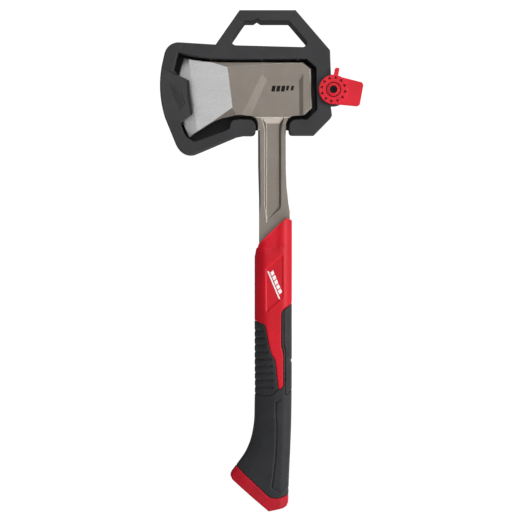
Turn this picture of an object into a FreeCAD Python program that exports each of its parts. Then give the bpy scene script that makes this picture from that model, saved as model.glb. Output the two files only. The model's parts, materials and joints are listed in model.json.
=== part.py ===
import FreeCAD, Part
import math
import os

import Sketcher

# A one-piece forged hatchet in its carry sheath, hanging by the sheath's loop.
# Millimetres. X runs to the right along the head, Z up along the handle, and Y from the
# open front of the sheath to its closed back. The origin is on the underside of the
# loop's top bar, in the mid-plane of the hatchet.

V = FreeCAD.Vector

SIZES = {
    # sheath: distances from the mid-plane to each skin
    "shell_front": 14.0,
    "shell_rear": 12.5,
    "skin": 3.0,
    "cover_thick": 3.0,
    "lip_under": 8.0,
    "lip_rim_front": 10.6,
    "ledge_front": 10.2,
    "lip_groove_front": 9.0,
    "edge_break": 0.6,
    "guard_thick": 1.6,
    "guard_half": 6.0,
    # screws that join the two halves of the sheath
    "screw_radius": 1.5,
    "screw_length": 10.0,
    "screw_head_radius": 2.75,
    "screw_head_height": 1.8,
    "screw_clearance": 0.2,
    "screw_sink": 2.1,
    # latch
    "latch_across": 52.6,
    "latch_drop": -61.8,
    "latch_radius": 12.8,
    "latch_thick": 5.0,
    "latch_gap": 0.3,
    "lug_radius": 13.9,
    "lug_drop": -62.0,
    "latch_tilt": -10.5,
    "collar_radius": 4.5,
    "collar_height": 1.2,
    "collar_bore": 3.45,
    "ring_groove_inner": 5.8,
    "ring_groove_outer": 6.8,
    "groove_depth": 2.0,
    "notch_circle": 10.5,
    "notch_radius": 1.8,
    "notch_depth": 2.4,
    "peg_circle": 8.2,
    "peg_radius": 1.2,
    "peg_length": 1.7,
    "peg_clearance": 0.35,
    "finger_width": 4.0,
    "finger_reach": 19.5,
    "bush_outer": 3.1,
    "bush_bore": 2.25,
    "bush_length": 3.2,
    "shoulder_radius": 2.2,
    "pivot_head_radius": 3.2,
    "pivot_head_height": 2.2,
    "pivot_thread_radius": 1.5,
    "pivot_thread_length": 8.0,
    "insert_radius": 2.8,
    "insert_length": 7.0,
    "washer_outer": 6.0,
    "washer_inner": 3.2,
    "washer_thick": 0.7,
    # forging
    "head_half": 11.5,
    "bevel_half": 2.4,
    "shank_half": 9.2,
    "shank_foot_half": 7.0,
    "shank_bevel": 1.7,
    "web_half": 6.6,
    "cheek_sink": 1.5,
    "rim_chamfer": 1.0,
    "tang_half": 3.0,
    "rivet_radius": 2.0,
    "rivet_head_radius": 3.4,
    "rivet_head_height": 1.5,
    # grip
    "cap_screw_radius": 1.75,
    "cap_screw_head_radius": 3.2,
    "cap_screw_length": 22.0,
}

doc = FreeCAD.newDocument("hatchet_in_sheath")
dims = doc.addObject("Spreadsheet::Sheet", "dims")
for row, (alias, value) in enumerate(SIZES.items(), start=1):
    dims.set(f"A{row}", alias)
    dims.set(f"B{row}", str(value))
    dims.setAlias(f"B{row}", alias)
doc.recompute()

FRONT_VIEW = "XZ_Plane"
TOP_VIEW = "XY_Plane"
SUB_PARTS = []


# ---------------------------------------------------------------- drawing helpers

def size(alias):
    return float(getattr(dims, alias))


def bind(item, **expressions):
    """Bind properties to the sheet; a double underscore stands for a dot."""
    for name, expression in expressions.items():
        item.setExpression(name.replace("__", "."), expression)


def sub_part(item, label):
    item.Label = label
    SUB_PARTS.append(item)
    return item


class Via(tuple):
    """The middle of an arc between the point before and the point after it."""


def corner(before, here, after, radius):
    """Tangent points and middle of the arc that rounds a corner."""
    here_v = V(here[0], here[1], 0)
    back = (V(before[0], before[1], 0) - here_v).normalize()
    ahead = (V(after[0], after[1], 0) - here_v).normalize()
    half = back.getAngle(ahead) / 2
    reach = radius / math.tan(half)
    middle = (back + ahead).normalize() * (radius / math.sin(half) - radius)
    return here_v + back * reach, here_v + middle, here_v + ahead * reach


def outline(points):
    """A closed outline: (x, y) or (x, y, corner radius), and Via((x, y)) for an arc."""
    corners = [p for p in points if not isinstance(p, Via)]
    middles = {}
    for index, point in enumerate(points):
        if isinstance(point, Via):
            middles[points[index - 1]] = V(point[0], point[1], 0)
    count = len(corners)
    starts, arcs, ends = [], [], []
    for index, point in enumerate(corners):
        if len(point) > 2:
            before, after = corners[index - 1], corners[(index + 1) % count]
            first, middle, last = corner(before, point, after, point[2])
            arcs.append(Part.Arc(first, middle, last))
        else:
            first = last = V(point[0], point[1], 0)
            arcs.append(None)
        ends.append(first)
        starts.append(last)
    edges = []
    for index, point in enumerate(corners):
        following = (index + 1) % count
        if arcs[index]:
            edges.append(arcs[index])
        if point in middles:
            edges.append(Part.Arc(starts[index], middles[point], ends[following]))
        else:
            edges.append(Part.LineSegment(starts[index], ends[following]))
    return edges


def draw(sketch, edges):
    """Add a closed chain of edges and tie each to the next."""
    first = sketch.GeometryCount
    sketch.addGeometry(edges, False)
    for index in range(len(edges)):
        this, following = first + index, first + (index + 1) % len(edges)
        for end, start in ((1, 1), (1, 2), (2, 1), (2, 2)):
            gap = sketch.getPoint(this, end).distanceToPoint(sketch.getPoint(following, start))
            if gap < 1e-6:
                shared = (this, end, following, start)
        sketch.addConstraint(Sketcher.Constraint("Coincident", *shared))


def new_body(name):
    return doc.addObject("PartDesign::Body", name)


def new_sketch(body, name, plane, offset, *outlines):
    """A sketch on one of the body's own planes, moved along that plane's normal."""
    sketch = body.newObject("Sketcher::SketchObject", name)
    origin = next(item for item in body.Origin.OriginFeatures if item.Role == plane)
    sketch.AttachmentSupport = [(origin, "")]
    sketch.MapMode = "FlatFace"
    sketch.setExpression("AttachmentOffset.Base.z", offset)
    for points in outlines:
        draw(sketch, outline(points))
    return sketch


def add_circle(sketch, across, up, alias):
    """A circle whose radius is bound to the sheet."""
    ring = Part.Circle(V(across, up, 0), V(0, 0, 1), size(alias))
    index = sketch.addGeometry(ring, False)
    rule = sketch.addConstraint(Sketcher.Constraint("Radius", index, ring.Radius))
    sketch.setExpression(f"Constraints[{rule}]", f"dims.{alias}")


def feature(body, kind, sketch, length, reverse=False):
    item = body.newObject(f"PartDesign::{kind}", f"{sketch.Name}_{kind.lower()}")
    item.Profile = sketch
    item.Reversed = reverse
    item.setExpression("Length", length)
    return item


def pad(body, sketch, length):
    return feature(body, "Pad", sketch, length)


def pocket(body, sketch, length, reverse=False):
    """Cut away from the viewer, or towards the viewer when reversed; it must cut."""
    doc.recompute()
    before = body.Shape.Volume
    item = feature(body, "Pocket", sketch, length, reverse)
    doc.recompute()
    if body.Shape.Volume > before - 1e-6:
        raise ValueError(f"{item.Name} cuts nothing")
    return item


def combine(kind, name, base, tool):
    """A Part boolean: Cut, Common or Fuse."""
    item = doc.addObject(f"Part::{kind}", name)
    item.Base = base
    item.Tool = tool
    return item


def rod(name, across, up, front, radius, length):
    """A cylinder along Y from the plane y = front towards the back."""
    item = doc.addObject("Part::Cylinder", name)
    item.Placement = FreeCAD.Placement(V(0, 0, 0), FreeCAD.Rotation(V(1, 0, 0), -90))
    bind(item, Radius=radius, Height=length, Placement__Base__x=across,
         Placement__Base__y=front, Placement__Base__z=up)
    return item


# ---------------------------------------------------------------- sheath outlines

# The frame seen from the front, running round the outside, up the inside of the right
# hook, round the window and back down the left hook.
FRAME = [
    (-30.8, 9.5, 1), (19.2, 9.5, 1), (49.9, -26.2, 1.5), (50.7, -48.4), (50.7, -77.2),
    (51.7, -84.6, 1), (36, -100.7, 1), (13.3, -100.7, 3), (13.3, -88.1, 6.3),
    (29.3, -88.1, 0.8), (38.2, -79.2, 1), (37.3, -41.5, 1), (28.9, -34, 1),
    (-30.4, -34.5), (-48.3, -34), Via((-67, -32.1)), (-85.7, -28.4),
    (-87.2, -32.6), (-89.8, -44), (-85.7, -48.4), (-78.6, -51.6), (-75.9, -53, 2),
    (-72.4, -82.6, 3), (-83.9, -90.9), (-81.4, -98.2), (-78, -103.9, 1.5), (-71.4, -108.1, 3),
    (-43.7, -98), (-40, -96, 1.5), (-39, -91), (-36.7, -88.6, 1.5), (-30.8, -88.1),
    (-16.6, -88.1, 6), (-16.6, -101.1, 4), (-27.9, -101.1), (-34, -102.3), (-82.6, -122.8, 13),
    (-97.3, -86.8), Via((-101.8, -61.3)), (-100.2, -39.5), (-95.4, -18.5, 13), (-52.2, -21.2, 0.8),
]

LOOP = [
    (-26.5, 0, 1.5), (-18.7, 0), (-15.6, 2.2, 0.8), (-12.2, 0), (12.9, 0, 1),
    (33.2, -23.7, 3.5), (-41.4, -21.7, 4),
]

# The space behind the lip that takes the cutting edge.
EDGE_POCKET = [
    (-89.8, -44), Via((-91.3, -65.3)), (-83.9, -91.2), (-69.5, -83.6), (-69.5, -48.4),
]

# The lower step along the lip's free edge.
LIP_LEDGE = [
    (-78.4, -49), (-77.7, -66.3), (-75.9, -77), (-74.6, -84), (-68, -84), (-68, -49),
]

# The narrow groove between the lip's face and that step.
LIP_GROOVE = [
    (-78.4, -49), (-77.7, -66.3), (-75.9, -77), (-74.6, -84), (-73.2, -84), (-74.5, -77),
    (-76.3, -66.3), (-77, -49),
]

# Hollows moulded into the back of the frame, between the screw posts.
HOLLOWS = [
    [(-97.8, -41.5), (-93.2, -41.5), (-94.2, -53.4), (-94.2, -68.3), (-90.8, -87.1), (-94.4, -87.1),
     (-98.8, -65.3), (-99.1, -53.4)],
    [(-67.5, -109.3), (-45.7, -101.4), (-45.7, -104.3), (-65.5, -112.6)],
    [(-80.4, -22.6), (-72.4, -23.1), (-72.4, -28.2), (-80.4, -26.6)],
    [(-62.5, -24), (-54.6, -24.5), (-54.6, -30.6), (-62.5, -29.8)],
    [(-43.7, -24.7), (-9, -25.7), (-9, -31.6), (-43.7, -31.6)],
    [(-1.1, -26.1), (21.7, -26.7), (25.6, -31.2), (-1.1, -31.4)],
    [(-45.6, -17), (-33.8, 0), (-30.2, 0), (-41.9, -17)],
    [(-9, 3), (4, 3), (4, 6.5), (-9, 6.5)],
    [(16.9, 0), (23.4, 0), (42.4, -22), (35.7, -22)],
    [(25.6, -91), (30.1, -91), (36, -85.1), (45.5, -85.1), (35.5, -97.6), (25.6, -97.6)],
]

SCREWS = [
    (-90.3, -26.9), (-67.5, -26.5), (-49.7, -26.1), (-5.1, -28.9), (-21.5, 4.7), (11.3, 4.7),
    (44, -37.6), (45, -80.2), (19.3, -94.6), (-25.9, -94.6), (-41.2, -100.6), (-81.8, -110.4),
]


# ---------------------------------------------------------------- sheath

def lip_slope():
    """The wedge that lets the face of the lip fall away towards the cutting edge."""
    body = new_body("lip_wedge")
    face = new_sketch(body, "lip_wedge_top", TOP_VIEW, "-91", [
        (-101, -size("shell_front")), (-101, -size("shell_front") - 1),
        (-70.5, -size("shell_front") - 1), (-70.5, -size("lip_rim_front"))])
    pad(body, face, "50")
    trim = new_body("lip_face")
    outline_face = new_sketch(trim, "lip_face_outline", FRONT_VIEW, "0", [
        (-102.2, -41.5), (-96.4, -43.5), (-85.7, -48.4), (-78.6, -51.6), (-69.5, -55.4),
        (-69.5, -82.1), (-83.9, -90.9), (-96.2, -87.1)])
    pad(trim, outline_face, "dims.shell_front + 1")
    return combine("Common", "lip_slope", body, trim)


def sheath_front_shell():
    """The moulded frame: rim, window, lip, loop, hooks, latch lug and screw posts."""
    body = new_body("front_shell_moulding")
    rear = "-dims.shell_rear"
    frame = new_sketch(body, "frame", FRONT_VIEW, rear, FRAME, LOOP)
    pad(body, frame, "dims.shell_front + dims.shell_rear")
    front_edges(body, -size("shell_front"))
    lug = new_sketch(body, "lug", FRONT_VIEW, "dims.shell_front - 9")
    add_circle(lug, size("latch_across"), size("lug_drop"), "lug_radius")
    pad(body, lug, "9")
    under_lip = new_sketch(body, "edge_pocket", FRONT_VIEW, rear, EDGE_POCKET)
    pocket(body, under_lip, "dims.shell_rear + dims.lip_under", reverse=True)
    hollows = new_sketch(body, "hollows", FRONT_VIEW, rear, *HOLLOWS)
    pocket(body, hollows, "dims.shell_rear + dims.shell_front - dims.skin", reverse=True)
    pilots = new_sketch(body, "pilots", FRONT_VIEW, rear)
    for across, up in SCREWS:
        add_circle(pilots, across, up, "screw_radius")
    pocket(body, pilots, "dims.screw_length", reverse=True)
    ledge = new_sketch(body, "lip_ledge", FRONT_VIEW, "dims.shell_front", LIP_LEDGE)
    pocket(body, ledge, "dims.shell_front - dims.ledge_front")
    groove = new_sketch(body, "lip_groove", FRONT_VIEW, "dims.ledge_front", LIP_GROOVE)
    pocket(body, groove, "dims.ledge_front - dims.lip_groove_front")
    latch_seat(body)
    ribs = new_sketch(body, "crush_ribs", FRONT_VIEW, rear, *[crush_rib(*rib) for rib in RIBS])
    pad(body, ribs, "dims.shell_rear + dims.shell_front - 3")
    return sub_part(combine("Cut", "front_shell", body, lip_slope()), "sheath_front_shell")


# Crush ribs that steady the head in the window: x, z and the direction they point in.
RIBS = [
    (-56.3, -33.5, -90), (-11.3, -34.2, -90), (21.3, -34, -90), (24.5, -88.1, 90),
    (-30.4, -88.1, 90),
]


def crush_rib(across, up, facing):
    """A small trapezium standing on the window's wall."""
    base, tip, height = 1.6, 0.6, 0.9
    turn = FreeCAD.Rotation(V(0, 0, 1), facing)
    shape = [(-0.6, -base), (height, -tip), (height, tip), (-0.6, base)]
    points = [turn.multVec(V(x, y, 0)) + V(across, up, 0) for x, y in shape]
    return [(p.x, p.y) for p in points]


def front_edges(body, level, alias="edge_break"):
    """Break the edges of the face that looks along Y at this level."""
    doc.recompute()
    last = body.Tip
    names = []
    for index, face in enumerate(last.Shape.Faces, start=1):
        centre = face.CenterOfMass
        if abs(centre.y - level) < 1e-4 and abs(face.normalAt(0, 0).y) > 0.999:
            names.append(f"Face{index}")
    chamfer = body.newObject("PartDesign::Chamfer", f"{body.Name}_front_edges")
    chamfer.Base = (last, names)
    bind(chamfer, Size=f"dims.{alias}")
    doc.recompute()
    return chamfer


def latch_seat(body):
    """The washer recess, the insert's bore and the groove for the latch's stop peg."""
    across, up = size("latch_across"), size("latch_drop")
    recess = new_sketch(body, "washer_recess", FRONT_VIEW, "dims.shell_front")
    ring = Part.Circle(V(across, up, 0), V(0, 0, 1), size("washer_outer") + 0.3)
    recess.addGeometry(ring, False)
    pocket(body, recess, "dims.washer_thick - 0.1")
    bore = new_sketch(body, "insert_bore", FRONT_VIEW, "dims.shell_front")
    add_circle(bore, across, up, "insert_radius")
    pocket(body, bore, "dims.pivot_thread_length + 1.6")
    groove = new_sketch(body, "stop_groove", FRONT_VIEW, "dims.shell_front")
    reach = size("peg_radius") + size("peg_clearance")
    draw(groove, half_ring(across, up, size("peg_circle"), reach))
    pocket(body, groove, "dims.peg_length + 0.4")


def half_ring(across, up, middle, reach):
    """The lower half of a ring with round ends, where the stop peg travels."""
    centre = V(across, up, 0)
    inner, outer = middle - reach, middle + reach

    def at(radius, degrees):
        turn = math.radians(degrees)
        return centre + V(radius * math.cos(turn), radius * math.sin(turn), 0)

    right = centre + V(middle, 0, 0)
    left = centre - V(middle, 0, 0)
    return [
        Part.Arc(at(outer, 180), at(outer, 270), at(outer, 360)),
        Part.Arc(at(outer, 0), right + V(0, reach, 0), at(inner, 0)),
        Part.Arc(at(inner, 0), at(inner, 270), at(inner, 180)),
        Part.Arc(at(inner, 180), left + V(0, reach, 0), at(outer, 180)),
    ]


def sheath_back_cover():
    """The flat cover that closes the back of the sheath, with sunk screw holes."""
    body = new_body("back_cover_plate")
    closed = FRAME[:7] + [(13.3, -100.7, 3), (13.3, -95.7, 1), (-16.6, -95.7, 1)] + FRAME[33:]
    plate = new_sketch(body, "cover", FRONT_VIEW, "-dims.shell_rear - dims.cover_thick",
                       closed, LOOP)
    pad(body, plate, "dims.cover_thick")
    front_edges(body, size("shell_rear") + size("cover_thick"))
    rear = "-dims.shell_rear - dims.cover_thick"
    sinks = new_sketch(body, "screw_sinks", FRONT_VIEW, rear)
    holes = new_sketch(body, "screw_holes", FRONT_VIEW, rear)
    for across, up in SCREWS:
        centre = V(across, up, 0)
        wide = size("screw_head_radius") + size("screw_clearance")
        narrow = size("screw_radius") + size("screw_clearance")
        sinks.addGeometry(Part.Circle(centre, V(0, 0, 1), wide), False)
        holes.addGeometry(Part.Circle(centre, V(0, 0, 1), narrow), False)
    pocket(body, sinks, "dims.screw_sink", reverse=True)
    pocket(body, holes, "dims.cover_thick + 1", reverse=True)
    return sub_part(body, "sheath_back_cover")


def shell_screws():
    """Self-tapping screws driven in from the back, all alike."""
    seat = size("shell_rear") + size("cover_thick") - size("screw_sink")
    screws = []
    for across, up in SCREWS:
        shank = Part.makeCylinder(
            size("screw_radius"), size("screw_length") - 0.5,
            V(across, seat - size("screw_length") + 0.5, up), V(0, 1, 0))
        head = Part.makeCylinder(
            size("screw_head_radius"), size("screw_head_height"), V(across, seat, up), V(0, 1, 0))
        socket = hexagon(across, seat + 0.7, up, 1.25, 2)
        screws.append(shank.fuse(head).cut(socket).removeSplitter())
    item = doc.addObject("Part::Feature", "shell_screws")
    item.Shape = Part.Compound(screws)
    return sub_part(item, "shell_screws")


def hexagon(across, front, up, half_flats, length):
    """A hexagonal prism along Y, from the plane y = front towards the back."""
    reach = half_flats / math.cos(math.pi / 6)
    corners = []
    for step in range(7):
        turn = step * math.pi / 3
        corners.append(V(across + reach * math.cos(turn), front, up + reach * math.sin(turn)))
    return Part.Face(Part.makePolygon(corners)).extrude(V(0, length, 0))


def blade_edge_guard():
    """A hard strip that lines the pocket where the cutting edge lies."""
    body = new_body("edge_guard")
    inner = size("guard_thick")
    top, belly, low = EDGE_POCKET[:3]
    strip = new_sketch(body, "guard", FRONT_VIEW, "-dims.guard_half", [
        top, belly, low, (low[0] + inner, low[1] - 0.5),
        Via((belly[0] + inner, belly[1])), (top[0] + inner, top[1] - 0.4)])
    pad(body, strip, "2 * dims.guard_half")
    return sub_part(body, "blade_edge_guard")


# ---------------------------------------------------------------- latch

def latch_lever():
    """A disc with index notches, a paddle, a thumb finger and a collar at the pivot."""
    body = new_body("lever")
    across, up = size("latch_across"), size("latch_drop")
    back = "dims.shell_front + dims.latch_gap"
    front = "dims.shell_front + dims.latch_gap + dims.latch_thick"
    disc = new_sketch(body, "disc", FRONT_VIEW, back)
    add_circle(disc, across, up, "latch_radius")
    pad(body, disc, "dims.latch_thick")
    tilt = FreeCAD.Rotation(V(0, 0, 1), size("latch_tilt"))

    def placed(points):
        moved = []
        for point in points:
            spot = tilt.multVec(V(point[0], point[1], 0)) + V(across, up, 0)
            moved.append((spot.x, spot.y) + tuple(point[2:]))
        return moved

    paddle = new_sketch(body, "paddle", FRONT_VIEW, back, placed([
        (0, 12.4), (1.2, 12.4), (24, 10.9, 1), (25.6, 8.6, 1), (25.6, -8.8, 1),
        (23.8, -10.6, 1), (2, -12.6), (0, -12.6)]))
    pad(body, paddle, "dims.latch_thick - 0.8")
    half = size("finger_width") / 2
    finger = new_sketch(body, "finger", FRONT_VIEW, back, placed([
        (-half, 8), (half, 8), (half, size("finger_reach")),
        (-half + 0.9, size("finger_reach")), (-half, size("finger_reach") - 1.2)]))
    pad(body, finger, "dims.latch_thick")
    collar = new_sketch(body, "collar", FRONT_VIEW, "dims.shell_front + dims.latch_gap")
    add_circle(collar, across, up, "collar_radius")
    pad(body, collar, "dims.latch_thick + dims.collar_height")
    ring = new_sketch(body, "collar_groove", FRONT_VIEW, front)
    add_circle(ring, across, up, "ring_groove_inner")
    add_circle(ring, across, up, "ring_groove_outer")
    pocket(body, ring, "dims.groove_depth")
    notches = new_sketch(body, "notches", FRONT_VIEW, front, *latch_notches(across, up))
    pocket(body, notches, "dims.notch_depth")
    counterbore = new_sketch(body, "counterbore", FRONT_VIEW, front + " + dims.collar_height")
    add_circle(counterbore, across, up, "collar_bore")
    pocket(body, counterbore, "dims.latch_thick + dims.collar_height - dims.bush_length")
    bush_hole = new_sketch(body, "bush_hole", FRONT_VIEW, front)
    add_circle(bush_hole, across, up, "bush_outer")
    pocket(body, bush_hole, "dims.latch_thick + 1")
    peg = new_sketch(body, "stop_peg", FRONT_VIEW,
                     "dims.shell_front + dims.latch_gap - dims.peg_length")
    add_circle(peg, across + size("peg_circle"), up, "peg_radius")
    pad(body, peg, "dims.peg_length")
    return sub_part(body, "latch_lever")


def latch_notches(across, up):
    """Twelve triangular index notches in a ring, pointing outwards."""
    notches = []
    for step in range(12):
        turn = FreeCAD.Rotation(V(0, 0, 1), step * 30 + size("latch_tilt"))
        points = []
        for side in range(3):
            spoke = FreeCAD.Rotation(V(0, 0, 1), side * 120)
            local = spoke.multVec(V(size("notch_radius"), 0, 0)) + V(size("notch_circle"), 0, 0)
            spot = turn.multVec(local) + V(across, up, 0)
            points.append((spot.x, spot.y))
        notches.append(points)
    return notches


def latch_bush():
    front = "-dims.shell_front - dims.latch_gap - dims.bush_length"
    sleeve = rod("bush_sleeve", "dims.latch_across", "dims.latch_drop", front,
                 "dims.bush_outer", "dims.bush_length")
    bore = rod("bush_hollow", "dims.latch_across", "dims.latch_drop", front,
               "dims.bush_bore", "dims.bush_length")
    return sub_part(combine("Cut", "bush", sleeve, bore), "latch_bush")


def latch_pivot_screw():
    """A shoulder screw: sunk head with a hex socket, plain shoulder, thread."""
    under_head = "-dims.shell_front - dims.latch_gap - dims.bush_length - 0.1"
    seat = "-dims.shell_front + dims.washer_thick - 0.1"
    shoulder_length = "dims.latch_gap + dims.bush_length + dims.washer_thick"
    head = rod("pivot_head", "dims.latch_across", "dims.latch_drop",
               under_head + " - dims.pivot_head_height", "dims.pivot_head_radius",
               "dims.pivot_head_height")
    shoulder = rod("pivot_shoulder", "dims.latch_across", "dims.latch_drop", under_head,
                   "dims.shoulder_radius", shoulder_length)
    thread = rod("pivot_thread", "dims.latch_across", "dims.latch_drop", seat,
                 "dims.pivot_thread_radius", "dims.pivot_thread_length")
    whole = combine("Fuse", "pivot_head_shoulder", head, shoulder)
    whole = combine("Fuse", "pivot_screw_blank", whole, thread)
    socket = doc.addObject("Part::Prism", "pivot_socket")
    socket.Polygon = 6
    socket.Circumradius = 1.7
    socket.Height = 1.6
    socket.Placement = FreeCAD.Placement(V(0, 0, 0), FreeCAD.Rotation(V(1, 0, 0), -90))
    bind(socket, Placement__Base__x="dims.latch_across", Placement__Base__z="dims.latch_drop",
         Placement__Base__y=under_head + " - dims.pivot_head_height - 0.1")
    return sub_part(combine("Cut", "pivot_screw", whole, socket), "latch_pivot_screw")


def latch_wave_washer():
    front = "-dims.shell_front - 0.1"
    disc = rod("washer_disc", "dims.latch_across", "dims.latch_drop", front,
               "dims.washer_outer", "dims.washer_thick")
    bore = rod("washer_hole", "dims.latch_across", "dims.latch_drop", front,
               "dims.washer_inner", "dims.washer_thick")
    return sub_part(combine("Cut", "washer", disc, bore), "latch_wave_washer")


def latch_insert():
    front = "-dims.shell_front + dims.washer_thick - 0.1"
    outer = rod("insert_outer", "dims.latch_across", "dims.latch_drop", front,
                "dims.insert_radius", "dims.insert_length")
    thread = rod("insert_thread", "dims.latch_across", "dims.latch_drop", front,
                 "dims.pivot_thread_radius", "dims.insert_length")
    return sub_part(combine("Cut", "insert", outer, thread), "latch_threaded_insert")


# ---------------------------------------------------------------- forging outlines

# Head, shank and tang in one outline, from the toe of the cutting edge over the top.
FORGING = [
    (-81.2, -31.9), Via((-63.8, -35.2)), (-44.9, -36.6), (-4.1, -36.9), (25.8, -36.8),
    (33, -42.6), (33.6, -57.1), (34.1, -77.8), (27.1, -84.3), (10.6, -84.3, 8.5),
    (10.7, -130.3), (11.3, -147.2), (13, -162.6), (14.3, -170.1), (14.3, -184, 2),
    (6.9, -192, 2), (7, -387.9, 3), (-9, -387.9, 3), (-9, -207.9, 2), (-13.5, -202, 2),
    (-13.5, -159.2), (-14.4, -130.3), (-14.4, -84.5, 8), (-30.9, -84.3), Via((-46.9, -86.5)),
    (-61.8, -93.7), (-70.8, -99.3), (-76.2, -103.5), Via((-87.2, -67.7)),
]

# Where the edge bevel and the ground cheek begin, at two heights.
BEVEL_LINE = ((-76.5, -33), (-68.9, -100))
CHEEK_LINE = ((-41.7, -40.6), (-37.3, -77.3))

CHEEK_RIM = [(-10.8, -47.4), (26.1, -46.6), (26.1, -85.9), (-30.4, -85.9)]
CHEEK_FLOOR = [(-6.1, -52.4), (22.3, -52.8), (22.7, -85.9), (-21.4, -85.9)]

# The rim is drawn at the level of the head's face, so the shank's skin, which is lower,
# meets the walls part of the way down.
FULLER_RIM = [
    (-11.8, -84.9), (9.2, -84.9), (8.5, -93), (8.5, -173), (1.2, -181), (-7.6, -189),
    (-9.7, -176), (-9.7, -93),
]
FULLER_FLOOR = [
    (-7, -91), (5, -91), (4.2, -96), (4.2, -165), (-1.2, -171.5), (-6.7, -179.3),
    (-6.7, -160), (-6.7, -96),
]

RIVETS = [(-1, -346.9), (-1, -375.9)]


# ---------------------------------------------------------------- forging

def on_line(line, up):
    """The x of a straight line given by two (x, z) points, at height z."""
    (x1, z1), (x2, z2) = line
    return x1 + (x2 - x1) * (up - z1) / (z2 - z1)


def edge_bevel():
    """The thin wedge that ends in the curved cutting edge."""
    toe, heel, belly = (V(x, z, 0) for x, z in (FORGING[0], *FORGING[-2:]))
    arc = Part.Arc(toe, belly, heel).toShape().Curve
    body = new_body("edge_bevel")
    loft = body.newObject("PartDesign::AdditiveLoft", "bevel_loft")
    sections = []
    thin = size("bevel_half")
    for up in (-28, -48, -68, -88, -107):
        edge = arc.Center.x - math.sqrt(arc.Radius ** 2 - (up - arc.Center.y) ** 2)
        root = on_line(BEVEL_LINE, up)
        sections.append(new_sketch(body, f"bevel_{-up}", TOP_VIEW, str(up), [
            (edge, 0), (root, -thin), (root + 3, 0), (root, thin)]))
    loft.Profile = sections[0]
    loft.Sections = sections[1:]
    return body


def cheek_planes():
    """Everything outside the two ground cheeks, which taper from head to bevel."""
    up = -22
    bevel, cheek = on_line(BEVEL_LINE, up), on_line(CHEEK_LINE, up)
    thin, thick = size("bevel_half"), size("head_half")
    wide = thick + 2
    body = new_body("cheek_planes")
    face = new_sketch(body, "cheek_section", TOP_VIEW, str(up), [
        (cheek, -thick), (bevel, -thin), (bevel, thin), (cheek, thick), (cheek, wide),
        (-110, wide), (-110, -wide), (cheek, -wide)])
    block = pad(body, face, "90")
    lean = (BEVEL_LINE[1][0] - BEVEL_LINE[0][0]) / (BEVEL_LINE[1][1] - BEVEL_LINE[0][1])
    block.UseCustomVector = True
    block.Direction = V(-lean, 0, -1)
    block.AlongSketchNormal = True
    return body


def thinning():
    """Slabs beside the shank and the tang, on both faces."""
    profile = [(size("head_half"), -84.4), (size("shank_half"), -99),
               (size("shank_half"), -163), (size("shank_foot_half"), -177),
               (size("shank_foot_half"), -202), (size("tang_half"), -206),
               (size("tang_half"), -402)]
    outside = size("head_half") + 1
    slabs = []
    for side in (-1, 1):
        slabs.append([(side * outside, -84.4)] + [(side * half, up) for half, up in profile]
                     + [(side * outside, -402)])
    body = new_body("thinning")
    face = new_sketch(body, "thinning_section", "YZ_Plane", "-27", *slabs)
    pad(body, face, "57")
    return body


def shank_edges():
    """Prisms that bevel the front and back of the shank's left edge."""
    half, bevel = size("shank_half"), size("shank_bevel")
    edge = -14.4
    corners = []
    for side in (-1, 1):
        corners.append([
            (edge - 1, side * (half + 1)), (edge + bevel, side * (half + 1)),
            (edge + bevel, side * half), (edge, side * (half - bevel)),
            (edge - 1, side * (half - bevel))])
    body = new_body("shank_edges")
    face = new_sketch(body, "shank_edge_section", TOP_VIEW, "-97", *corners)
    block = pad(body, face, "100")
    block.UseCustomVector = True
    block.Direction = V(0.013, 0, -1)
    block.AlongSketchNormal = True
    return body


def recess(name, rim, floor, level, depth_alias):
    """A recess with sloping walls on each face, from the skin down to its floor."""
    faces = []
    for side, facing in (("front", 1), ("back", -1)):
        body = new_body(f"{name}_{side}")
        loft = body.newObject("PartDesign::AdditiveLoft", f"{name}_{side}_loft")
        skin = new_sketch(body, f"{name}_{side}_rim", FRONT_VIEW, f"{facing} * {level}", rim)
        base = new_sketch(body, f"{name}_{side}_floor", FRONT_VIEW,
                          f"{facing} * ({depth_alias})", floor)
        loft.Profile = skin
        loft.Sections = [base]
        loft.Ruled = True
        faces.append(body)
    return combine("Fuse", name, *faces)


def plane_cut(name, first, second, third, left, right, low, high):
    """What lies outside a plane through three points of the front face, between two x and
    two z values, and its mirror at the back."""
    a, b, c = V(*first), V(*second), V(*third)
    normal = (b - a).cross(c - a).normalize()
    if normal.y > 0:
        normal = normal * -1
    block = Part.makeBox(200, 200, 20, V(-100, -100, 0))
    block.Placement = FreeCAD.Placement((a + b + c) / 3, FreeCAD.Rotation(V(0, 0, 1), normal))
    front = block.common(Part.makeBox(right - left, 30, high - low, V(left, -30, low)))
    item = doc.addObject("Part::Feature", name)
    item.Shape = Part.Compound([front, front.mirror(V(0, 0, 0), V(0, 1, 0))])
    return item


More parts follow.
